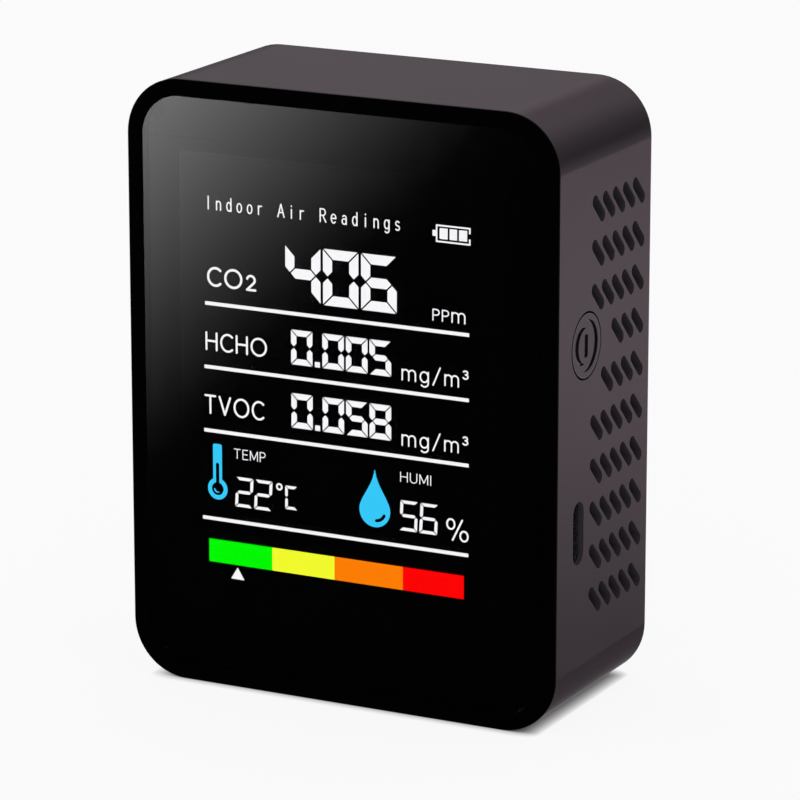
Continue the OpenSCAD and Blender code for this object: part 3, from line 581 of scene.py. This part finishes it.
# which finish each part of the model wears
wears = {
    "satinMetallicPaint": ["rear_housing"],
    "satinPaintButton": ["power_button"],
    "moldedBlackAbs": ["front_frame"],
    "smokedAcrylic": ["display_lens"],
    "blackAdhesiveTape": ["lens_tape"],
    "displayGlass": ["lcd_glass"],
    "moldedWhiteAbs": ["lcd_backlight", "hcho_sensor", "humidity_sensor", "battery_plug", "battery_socket"],
    "tinPlatedPins": ["lcd_pins", "controller_leads"],
    "greenSolderMask": ["main_board"],
    "blueSolderMask": ["co2_board"],
    "zincPlatedSteel": ["board_screws", "housing_screws"],
    "moldedBlackNylon": ["switch_body", "switch_plunger", "usb_insulator"],
    "nickelPlatedSteel": ["usb_shell", "switch_bracket", "crystal", "tvoc_can", "tvoc_mesh"],
    "goldPlating": ["usb_contacts", "co2_chamber", "co2_pins"],
    "stampedBrass": ["tvoc_base"],
    "moldedEpoxy": ["controller_chip", "charger_chip", "chip_resistors"],
    "sinteredFerrite": ["power_inductor"],
    "firedCeramic": ["chip_capacitors"],
    "porousMembrane": ["hcho_membrane", "co2_filters"],
    "laminatedFoil": ["battery_cell"],
    "amberPolyimideFilm": ["battery_guard"],
    "foamTape": ["battery_tape"],
    "siliconeInsulation": ["battery_leads"],
}

for finish, parts in wears.items():
    for part in parts:
        slots = nodes[part].data.materials
        slots.clear()
        slots.append(materials[finish])
dressed = sum(len(parts) for parts in wears.values())
print("parts dressed:", dressed, "of", len(nodes))

# display: lit symbols, in mm across and up from the layout's own zero on the glass
display = {
    "zero": (-0.65, -0.34),
    "widen": 0.994,
    "inkThick": 0.04,
    "inkSunk": 0.01,  # how far the ink bites into the glass, so that no gap shows
    "weld": 0.001,  # points nearer than this become one
    "sliver": 0.0005,  # and edges shorter than this go
    "hairline": 0.01,  # gap between shapes that seem to touch
    "letterGap": 0.3,  # between letters, as a share of their height
    "spaceWide": 0.5,
    "cellWide": 0.8,  # how wide letters are drawn where each has the same cell
}


def outlineMesh(outlines):
    # closed outlines; one inside another is a hole
    data = bpy.data.curves.new("outline", "CURVE")
    data.dimensions = "2D"
    data.fill_mode = "BOTH"
    data.extrude = 0.5  # any depth will do, as layOnGlass sets the real one
    for outline in outlines:
        spline = data.splines.new("POLY")
        spline.points.add(len(outline) - 1)
        for point, (x, z) in zip(spline.points, outline):
            point.co = (x, z, 0.0, 1.0)
        spline.use_cyclic_u = True
    return curveMesh(data)


def curveMesh(data):
    drawing = bpy.data.objects.new("drawing", data)
    scene.collection.objects.link(drawing)
    bpy.context.view_layer.update()
    mesh = bpy.data.meshes.new_from_object(drawing.evaluated_get(bpy.context.evaluated_depsgraph_get()))
    bpy.data.objects.remove(drawing)
    return mesh


def layOnGlass(name, meshes, finish):
    # joins flat meshes, stands them up on the face of the display glass and cleans them
    zeroX, zeroZ = display["zero"]
    thick = display["inkThick"]
    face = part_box("lcd_glass")[0].y / mm - thick / 2 + display["inkSunk"]
    stand = Matrix.Scale(mm, 4) @ Matrix.Translation((zeroX, face, zeroZ))
    stand = stand @ Matrix.Rotation(math.pi / 2, 4, "X") @ Matrix.Diagonal((display["widen"], 1.0, 1.0, 1.0))
    form = bmesh.new()
    for mesh in meshes:
        for vertex in mesh.vertices:
            vertex.co.z = thick / 2 if vertex.co.z > 0 else -thick / 2
        form.from_mesh(mesh)
        bpy.data.meshes.remove(mesh)
    bmesh.ops.remove_doubles(form, verts=form.verts, dist=display["weld"])
    bmesh.ops.dissolve_degenerate(form, edges=form.edges, dist=display["sliver"])
    bmesh.ops.recalc_face_normals(form, faces=form.faces)
    form.transform(stand)
    solid = bpy.data.meshes.new(name)
    form.to_mesh(solid)
    form.free()
    solid.materials.clear()
    solid.materials.append(materials[finish])
    piece = bpy.data.objects.new(name, solid)
    scene.collection.objects.link(piece)
    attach(piece, "housing")
    return piece


def rectangle(left, right, low, high):
    return [(left, low), (right, low), (right, high), (left, high)]


def ring(x, z, radius, start=0.0, end=360.0, steps=40):
    # points round a circle, both ends included unless it closes
    last = steps if end - start < 360.0 else steps - 1
    return [(x + radius * math.cos(math.radians(start + (end - start) * i / steps)),
             z + radius * math.sin(math.radians(start + (end - start) * i / steps)))
            for i in range(last + 1)]


def stroke(points, width):
    # a line of even width with round ends; one that closes on itself becomes an outline and its hole
    half = width / 2
    closed = math.dist(points[0], points[-1]) < display["weld"]
    sideA, sideB = [], []
    for i, (x, z) in enumerate(points):
        before = points[i - 1] if i else points[-2 if closed else 0]
        after = points[i + 1] if i + 1 < len(points) else points[1 if closed else -1]
        turn = math.atan2(after[1] - before[1], after[0] - before[0])
        sideA.append((x - half * math.sin(turn), z + half * math.cos(turn)))
        sideB.append((x + half * math.sin(turn), z - half * math.cos(turn)))
    if closed:
        return [sideA[:-1], sideB[:-1]]
    (x0, z0), (x1, z1) = points[0], points[-1]
    first = math.degrees(math.atan2(points[1][1] - z0, points[1][0] - x0))
    last = math.degrees(math.atan2(z1 - points[-2][1], x1 - points[-2][0]))
    # each end is rounded a little short of a half turn, so that no point falls on a side
    tail = ring(x1, z1, half, last + 75, last - 75, 6)
    nose = ring(x0, z0, half, first + 255, first + 105, 6)
    return [sideA + tail + sideB[::-1] + nose]


def bow(x, z, wide, high, start, end, steps=20):
    # part of an ellipse, from one angle to another
    turns = [math.radians(start + (end - start) * i / steps) for i in range(steps + 1)]
    return [(x + wide * math.cos(turn), z + high * math.sin(turn)) for turn in turns]


# even-line letters, one unit high, each a few strokes of a round pen
pen = {
    "A": [[(0, 0), (0.34, 1)], [(0.34, 1), (0.68, 0)], [(0.12, 0.36), (0.56, 0.36)]],
    "C": [bow(0.44, 0.5, 0.44, 0.5, 48, 312)],
    "E": [[(0, 0), (0, 1)], [(0, 1), (0.54, 1)], [(0, 0), (0.54, 0)], [(0, 0.52), (0.48, 0.52)]],
    "H": [[(0, 0), (0, 1)], [(0.68, 0), (0.68, 1)], [(0, 0.52), (0.68, 0.52)]],
    "I": [[(0, 0), (0, 1)]],
    "M": [[(0, 0), (0, 1)], [(0, 1), (0.4, 0.12)], [(0.4, 0.12), (0.8, 1)], [(0.8, 1), (0.8, 0)]],
    "O": [bow(0.48, 0.5, 0.48, 0.5, 0, 360, 32)],
    "P": [[(0, 0), (0, 1)], [(0, 1), (0.28, 1)] + bow(0.3, 0.74, 0.26, 0.26, 80, -80, 12) + [(0, 0.48)]],
    "R": [[(0, 0), (0, 1)], [(0, 1), (0.28, 1)] + bow(0.3, 0.75, 0.25, 0.25, 80, -80, 12) + [(0, 0.5)],
          [(0.28, 0.5), (0.6, 0)]],
    "T": [[(0, 1), (0.68, 1)], [(0.34, 1), (0.34, 0)]],
    "U": [[(0, 1)] + bow(0.33, 0.33, 0.33, 0.33, 180, 360, 14) + [(0.66, 1)]],
    "V": [[(0, 1), (0.37, 0)], [(0.37, 0), (0.74, 1)]],
    "a": [bow(0.22, 0.21, 0.22, 0.21, 0, 360), bow(0.24, 0.47, 0.2, 0.2, 145, 0, 10) + [(0.44, 0)]],
    "d": [bow(0.23, 0.34, 0.23, 0.34, 0, 360), [(0.46, 0), (0.46, 1)]],
    "e": [[(0.02, 0.36), (0.48, 0.36)], bow(0.25, 0.34, 0.25, 0.34, 5, 315)],
    "g": [bow(0.24, 0.36, 0.24, 0.34, 0, 360),
          [(0.48, 0.7), (0.48, -0.02)] + bow(0.25, -0.04, 0.23, 0.24, 0, -140, 12)],
    "i": [[(0, 0), (0, 0.68)], [(0, 0.92), (0, 0.96)]],
    "m": [[(0, 0), (0, 0.7)], bow(0.2, 0.46, 0.2, 0.24, 180, 0, 10) + [(0.4, 0)],
          bow(0.6, 0.46, 0.2, 0.24, 180, 0, 10) + [(0.8, 0)]],
    "n": [[(0, 0), (0, 0.68)], bow(0.22, 0.44, 0.22, 0.24, 180, 0, 10) + [(0.44, 0)]],
    "o": [bow(0.25, 0.34, 0.25, 0.34, 0, 360)],
    "r": [[(0, 0), (0, 0.68)], bow(0.26, 0.4, 0.26, 0.28, 180, 70, 8)],
    "s": [bow(0.2, 0.51, 0.18, 0.17, 35, 250, 12) + bow(0.2, 0.17, 0.2, 0.17, 70, -145, 12)],
    "2": [bow(0.3, 0.7, 0.27, 0.3, 165, -38, 14) + [(0.02, 0)], [(0.02, 0), (0.6, 0)]],
    "/": [[(0, -0.08), (0.42, 1.08)]],
    "³": [bow(0.13, 0.98, 0.13, 0.12, 150, -88, 10), bow(0.13, 0.72, 0.15, 0.14, 88, -150, 10)],
    "%": [bow(0.2, 0.76, 0.2, 0.24, 0, 360), bow(0.9, 0.24, 0.2, 0.24, 0, 360), [(0.3, 0), (0.8, 1)]],
}


def lettering(text, left, right, base, height, line, cells=False):
    # writes one word from left to right on its base; cells gives each letter the same width
    widths = [display["spaceWide"] if letter == " " else max(x for part in pen[letter] for x, z in part)
              for letter in text]
    tall = height - line
    spare = display["letterGap"] if len(text) > 1 else 0.0
    stretch = (right - left - line) / (sum(widths) + spare * (len(text) - 1))
    cell = (right - left) / len(text)
    cursor = left + line / 2
    meshes = []
    for place, letter in enumerate(text):
        start, wide = cursor, stretch
        if cells:
            wide = tall * display["cellWide"]
            start = left + (place + 0.5) * cell - widths[place] * wide / 2
        for part in pen.get(letter, []):
            points = [(start + x * wide, base + line / 2 + z * tall) for x, z in part]
            meshes.append(outlineMesh(stroke(points, line)))
        cursor += (widths[place] + spare) * stretch
    return meshes


# bars of one digit: a on top, then clockwise b c d e f, and g across the middle
litBars = {
    "0": "abcdef", "2": "abdeg", "4": "bcfg", "5": "acdfg", "6": "acdefg", "8": "abcdefg", "C": "adef",
}


def digit(character, left, base, look):
    wide, high, thick = look["wide"], look["high"], look["bar"]
    gap = look["gap"] * 0.7  # a mitred gap measured along the edge
    middle = high / 2
    half = thick / 2
    bars = {
        "a": [(gap, high), (thick + gap, high - thick), (wide - thick - gap, high - thick),
              (wide - gap, high)],
        "d": [(gap, 0), (thick + gap, thick), (wide - thick - gap, thick), (wide - gap, 0)],
        "f": [(0, high - gap), (thick, high - thick - gap), (thick, middle + half + gap),
              (half, middle + gap), (0, middle + half + gap)],
        "b": [(wide, high - gap), (wide - thick, high - thick - gap), (wide - thick, middle + half + gap),
              (wide - half, middle + gap), (wide, middle + half + gap)],
        "e": [(0, gap), (thick, thick + gap), (thick, middle - half - gap),
              (half, middle - gap), (0, middle - half - gap)],
        "c": [(wide, gap), (wide - thick, thick + gap), (wide - thick, middle - half - gap),
              (wide - half, middle - gap), (wide, middle - half - gap)],
        "g": [(half + gap, middle), (thick + gap, middle + half), (wide - thick - gap, middle + half),
              (wide - half - gap, middle), (wide - thick - gap, middle - half),
              (thick + gap, middle - half)],
    }
    lean = look.get("lean", 0.0)
    return [[(left + x + lean * z, base + z) for x, z in bars[bar]] for bar in litBars[character]]


# heading and battery symbol
heading = {
    "text": "Indoor Air Readings", "left": -20.9, "right": 9.8, "base": 67.5, "height": 1.95, "line": 0.18,
    "batteryLeft": 14.75, "batteryRight": 19.9, "batteryLow": 66.6, "batteryHigh": 69.0, "stroke": 0.22,
    "breakLow": 67.45, "breakHigh": 68.15, "cells": ((15.3, 16.5), (16.8, 17.9), (18.2, 19.4)),
    "cellLow": 0.48, "cellHigh": 0.45, "capLong": 0.5, "capInset": 0.8,
}


def makeHeading():
    look = heading
    words = lettering(look["text"], look["left"], look["right"], look["base"], look["height"],
                      look["line"], cells=True)
    layOnGlass("display_heading", words, "litWhite")
    left, right, low, high = (look[k] for k in ("batteryLeft", "batteryRight", "batteryLow", "batteryHigh"))
    wall = look["stroke"]
    case = [(right, look["breakLow"]), (right, low), (left, low), (left, high), (right, high),
            (right, look["breakHigh"]), (right - wall, look["breakHigh"]), (right - wall, high - wall),
            (left + wall, high - wall), (left + wall, low + wall), (right - wall, low + wall),
            (right - wall, look["breakLow"])]
    cap = rectangle(left - look["capLong"], left - display["hairline"], low + look["capInset"],
                    high - look["capInset"])
    cells = [rectangle(a, b, low + look["cellLow"], high - look["cellHigh"]) for a, b in look["cells"]]
    layOnGlass("display_battery", [outlineMesh([case, cap] + cells)], "litWhite")


makeHeading()
print("heading lit")

# three readings with their names and units
bigDigits = {"wide": 5.4, "high": 7.8, "bar": 1.39, "gap": 0.22}
smallDigits = {"wide": 3.3, "high": 4.86, "bar": 0.83, "gap": 0.16}
readings = {
    "co2": {
        "digits": (("4", -8.15), ("0", -2.35), ("6", 3.47)), "base": 56.1, "look": bigDigits,
        "name": (("CO", -20.4, -14.85, 56.8, 2.8, 0.34), ("2", -14.35, -12.7, 56.8, 2.28, 0.32)),
        "unit": (("PP", 14.25, 16.75, 55.8, 1.65, 0.17), ("m", 17.1, 19.2, 55.8, 2.1, 0.2)),
    },
    "hcho": {
        "digits": (("0", -7.34), ("0", -2.5), ("0", 1.12), ("5", 4.72)), "base": 47.3, "look": smallDigits,
        "dot": (-3.67, -2.9, 0.75), "name": (("HCHO", -20.75, -11.1, 47.75, 2.65, 0.29),),
        "unit": (("mg/m³", 9.6, 19.7, 47.0, 2.3, 0.21),),
    },
    "tvoc": {
        "digits": (("0", -7.34), ("0", -2.5), ("5", 1.12), ("8", 4.72)), "base": 38.4, "look": smallDigits,
        "dot": (-3.67, -2.9, 0.75), "name": (("TVOC", -21.0, -11.6, 38.75, 2.75, 0.29),),
        "unit": (("mg/m³", 9.6, 19.7, 37.9, 2.3, 0.21),),
    },
}


def makeReading(name, look):
    bars = []
    for character, left in look["digits"]:
        bars += digit(character, left, look["base"], look["look"])
    if "dot" in look:
        left, right, high = look["dot"]
        bars.append(rectangle(left, right, look["base"], look["base"] + high))
    layOnGlass("display_" + name + "_digits", [outlineMesh([bar]) for bar in bars], "litWhite")
    for part in ("name", "unit"):
        words = [mesh for word in look[part] for mesh in lettering(*word)]
        layOnGlass("display_" + name + "_" + part, words, "litWhite")


for name, look in readings.items():
    makeReading(name, look)
print("readings lit:", ", ".join(readings))

# rules between the rows
rules = {
    "thick": 0.5, "right": 19.75,
    "rows": ((-20.75, 54.4), (-20.95, 45.43), (-21.1, 36.4), (-21.45, 23.85)),  # left end and height
}


def makeRules():
    half = rules["thick"] / 2
    rows = [outlineMesh([rectangle(left, rules["right"], z - half, z + half)])
            for left, z in rules["rows"]]
    layOnGlass("display_rules", rows, "litWhite")


makeRules()
print("rules lit")

# temperature and humidity
thinDigits = {"wide": 2.7, "high": 4.25, "bar": 0.43, "gap": 0.14, "lean": 0.05}
climate = {
    "tempDigits": (("2", -16.3), ("2", -13.3)), "humiDigits": (("5", 9.25), ("6", 12.3)), "base": 26.05,
    "degree": (-9.32, 29.72, 0.52, 0.26),
    "scaleLetter": {"wide": 1.9, "high": 3.35, "bar": 0.4, "gap": 0.12}, "scaleAt": (-8.4, 26.7),
    "percent": ("%", 16.4, 19.8, 25.6, 3.15, 0.25),
    "tempName": ("TEMP", -16.45, -11.45, 32.85, 1.45, 0.12),
    "humiName": ("HUMI", 9.4, 14.1, 32.85, 1.45, 0.12),
    "bulb": (-19.05, 28.2), "bulbRadius": 1.55, "tubeHalf": 0.7, "tubeTop": 34.6, "tubeSoft": 0.3,
    "boreRadius": 0.92, "boreHalf": 0.27, "boreTop": 31.9, "boreSoft": 0.26,
    "glintRadius": 0.5, "glintFrom": 185, "glintTo": 285, "glintLine": 0.16,
    "dropTop": 34.0, "dropMiddle": (5.5, 28.3), "dropRadius": 2.36,
    "dropMeet": 22,  # degrees up the bowl where the flanks leave it
    "dropPull": 1.7, "dropNeck": (0.3, 3.7), "dropTipHalf": 0.04, "dropSteps": 16,
    "shade": ((0.25, -1.42), (0.75, -1.3), (1.15, -1.02), (1.45, -0.6)), "shadeLine": 0.46,
}


def keyhole(x, z, radius, half, top, soft):
    # round bulb with a straight stem above it, stem corners rounded by soft
    mouth = math.degrees(math.asin(half / radius))
    bulb = ring(x, z, radius, 90 + mouth, 450 - mouth, 48)
    right = ring(x + half - soft, top - soft, soft, 0, 90, 8)
    left = ring(x - half + soft, top - soft, soft, 90, 180, 8)
    return bulb + right + left


def makeClimate():
    look = climate
    bars = []
    for character, left in look["tempDigits"]:
        bars += digit(character, left, look["base"], thinDigits)
    bars += digit("C", look["scaleAt"][0], look["scaleAt"][1], look["scaleLetter"])
    x, z, outer, inner = look["degree"]
    meshes = [outlineMesh([bar]) for bar in bars] + [outlineMesh([ring(x, z, outer), ring(x, z, inner)])]
    layOnGlass("display_temp_digits", meshes, "litWhite")
    layOnGlass("display_temp_name", lettering(*look["tempName"]), "litWhite")
    bars = []
    for character, left in look["humiDigits"]:
        bars += digit(character, left, look["base"], thinDigits)
    meshes = [outlineMesh([bar]) for bar in bars] + lettering(*look["percent"])
    layOnGlass("display_humi_digits", meshes, "litWhite")
    layOnGlass("display_humi_name", lettering(*look["humiName"]), "litWhite")
    # thermometer, with its bore left dark and a glint in the bulb
    x, z = look["bulb"]
    body = keyhole(x, z, look["bulbRadius"], look["tubeHalf"], look["tubeTop"], look["tubeSoft"])
    bore = keyhole(x, z, look["boreRadius"], look["boreHalf"], look["boreTop"], look["boreSoft"])
    glint = stroke(bow(x, z, look["glintRadius"], look["glintRadius"], look["glintFrom"],
                       look["glintTo"], 10), look["glintLine"])
    layOnGlass("display_thermometer", [outlineMesh([body, bore] + glint)], "litBlue")
    # drop, hollow-sided at its tip and round below, with one dark stroke
    (x, z), radius = look["dropMiddle"], look["dropRadius"]
    meet = math.radians(look["dropMeet"])
    end = Vector((radius * math.cos(meet), radius * math.sin(meet)))
    pull = end + look["dropPull"] * Vector((-math.sin(meet), math.cos(meet)))
    start = Vector((look["dropTipHalf"], look["dropTop"] - z))
    neck = Vector(look["dropNeck"])
    flank = []
    for i in range(look["dropSteps"] + 1):
        t = i / look["dropSteps"]
        flank.append(start * (1 - t) ** 3 + neck * 3 * t * (1 - t) ** 2
                     + pull * 3 * t * t * (1 - t) + end * t ** 3)
    rightSide = [(x + p.x, z + p.y) for p in flank]
    leftSide = [(x - p.x, z + p.y) for p in flank[::-1]]
    bowl = ring(x, z, radius, look["dropMeet"], -180 - look["dropMeet"], 40)[1:-1]
    shade = stroke([(x + a, z + b) for a, b in look["shade"]], look["shadeLine"])
    layOnGlass("display_drop", [outlineMesh([rightSide + bowl + leftSide] + shade)], "litBlue")


makeClimate()
print("temperature and humidity lit")

# scale of four colours with its pointer
scale = {
    "low": 17.6, "high": 20.9, "edges": (-20.5, -10.5, -0.75, 9.8, 19.1),
    "finishes": ("litGreen", "litYellow", "litOrange", "litRed"),
    "pointer": ((-16.0, 17.25), (-17.05, 15.55), (-14.95, 15.55)),
}


def makeScale():
    for place, finish in enumerate(scale["finishes"]):
        left, right = scale["edges"][place:place + 2]
        bar = outlineMesh([rectangle(left, right - display["hairline"], scale["low"], scale["high"])])
        layOnGlass("display_scale_" + finish[3:].lower(), [bar], finish)
    layOnGlass("display_pointer", [outlineMesh([list(scale["pointer"])])], "litWhite")


makeScale()
print("scale lit")
